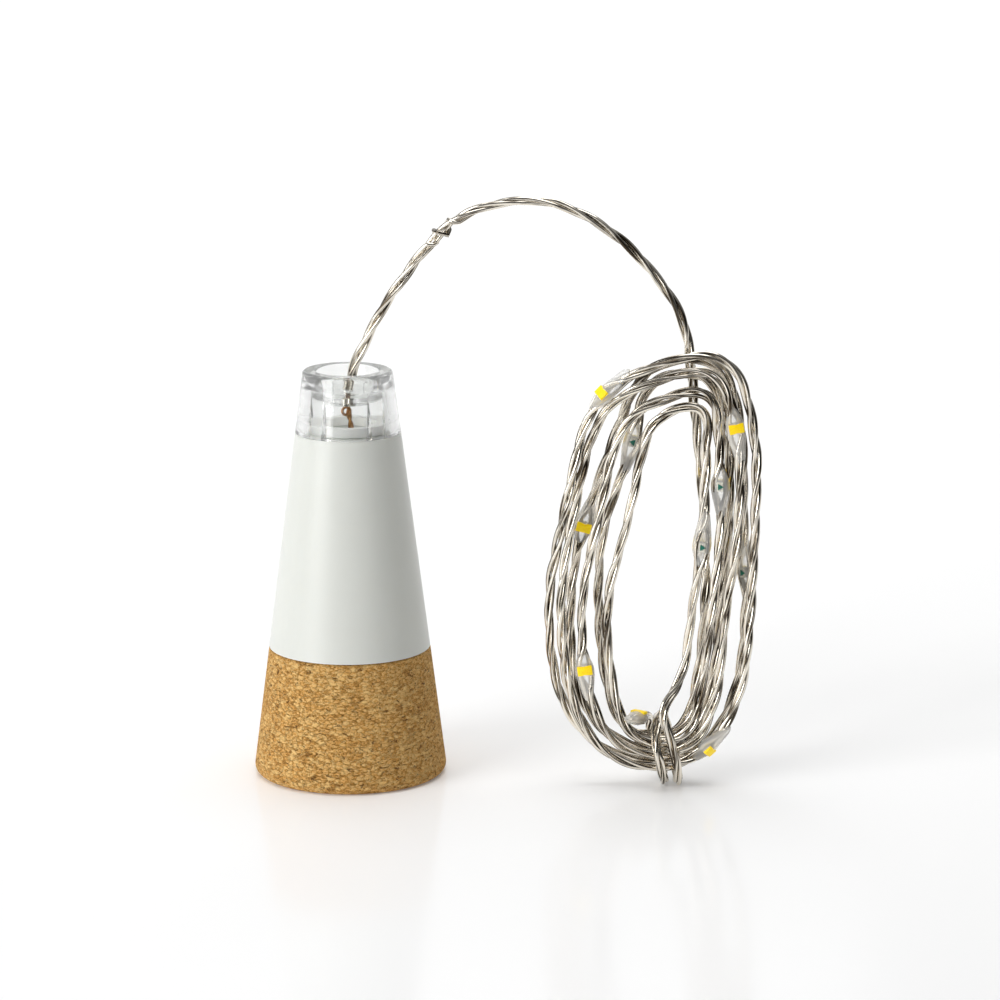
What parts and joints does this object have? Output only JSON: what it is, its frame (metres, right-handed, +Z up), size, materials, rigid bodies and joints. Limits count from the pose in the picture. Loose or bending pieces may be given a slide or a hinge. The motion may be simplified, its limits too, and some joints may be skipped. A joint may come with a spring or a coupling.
{
  "type": "cork bottle light",
  "caption": "Tapered cork and white plastic stopper light with a clear tip, a charging plug under its pull-off cork, and a silver wire light string tied in a hank.",
  "frame": {"origin": "centre of the cork's flat end, which the light stands on", "axes": "+Z up along the stopper's axis towards the clear tip, -Y the pictured front, +X towards the hank"},
  "size_m": [0.0719, 0.0276, 0.0841],
  "materials": {
    "cork": "ground agglomerate cork",
    "liner_plastic": "satin black moulding",
    "touch_metal": "turned metal",
    "leaf_metal": "bright spring metal",
    "housing_white": "satin white moulding",
    "plate_white": "satin white moulding",
    "plug_metal": "bright plated sheet",
    "plug_plastic": "white insulator",
    "contact_gold": "gold plated",
    "board_green": "solder mask",
    "chip_black": "moulded package",
    "passive_tan": "fired body",
    "pad_foam": "closed foam",
    "cell_foil": "foil pouch",
    "lead_red": "insulated wire",
    "lead_black": "insulated wire",
    "tip_clear": "clear moulding",
    "lead_copper": "coated copper",
    "knot_copper": "coated copper",
    "wire_silver": "clear-coated silver wire",
    "hank_silver": "clear-coated silver wire",
    "drop_clear": "clear epoxy",
    "chip_base": "chip base",
    "chip_lens": "yellow phosphor"
  },
  "bodies": {
    "cork_cap": {"cork_sleeve": "cork", "cap_liner": "liner_plastic", "touch_disc": "touch_metal", "contact_leaf": "leaf_metal"},
    "light_unit": {"housing": "housing_white", "end_plate": "plate_white", "plug_shell": "plug_metal", "plug_tongue": "plug_plastic", "plug_contacts": "contact_gold", "circuit_board": "board_green", "board_chips": "chip_black", "board_passives": "passive_tan", "cell_pad": "pad_foam", "battery_cell": "cell_foil", "cell_lead_red": "lead_red", "cell_lead_black": "lead_black", "tip_lens": "tip_clear", "inner_lead": "lead_copper", "lead_knot": "knot_copper", "string_lead": "wire_silver", "string_hank": "hank_silver", "led_drop_01": "drop_clear", "led_chip_01": "chip_base", "led_lens_01": "chip_lens", "led_drop_02": "drop_clear", "led_chip_02": "chip_base", "led_lens_02": "chip_lens", "led_drop_03": "drop_clear", "led_chip_03": "chip_base", "led_lens_03": "chip_lens", "led_drop_04": "drop_clear", "led_chip_04": "chip_base", "led_lens_04": "chip_lens", "led_drop_05": "drop_clear", "led_chip_05": "chip_base", "led_lens_05": "chip_lens", "led_drop_06": "drop_clear", "led_chip_06": "chip_base", "led_lens_06": "chip_lens", "led_drop_07": "drop_clear", "led_chip_07": "chip_base", "led_lens_07": "chip_lens", "led_drop_08": "drop_clear", "led_chip_08": "chip_base", "led_lens_08": "chip_lens", "led_drop_09": "drop_clear", "led_chip_09": "chip_base", "led_lens_09": "chip_lens", "led_drop_10": "drop_clear", "led_chip_10": "chip_base", "led_lens_10": "chip_lens"}
  },
  "joints": [
    {"name": "cap_pull", "type": "slide", "parent": "cork_cap", "child": "light_unit", "axis": [0, 0, 1], "range_m": [0, 0.02]}
  ]
}
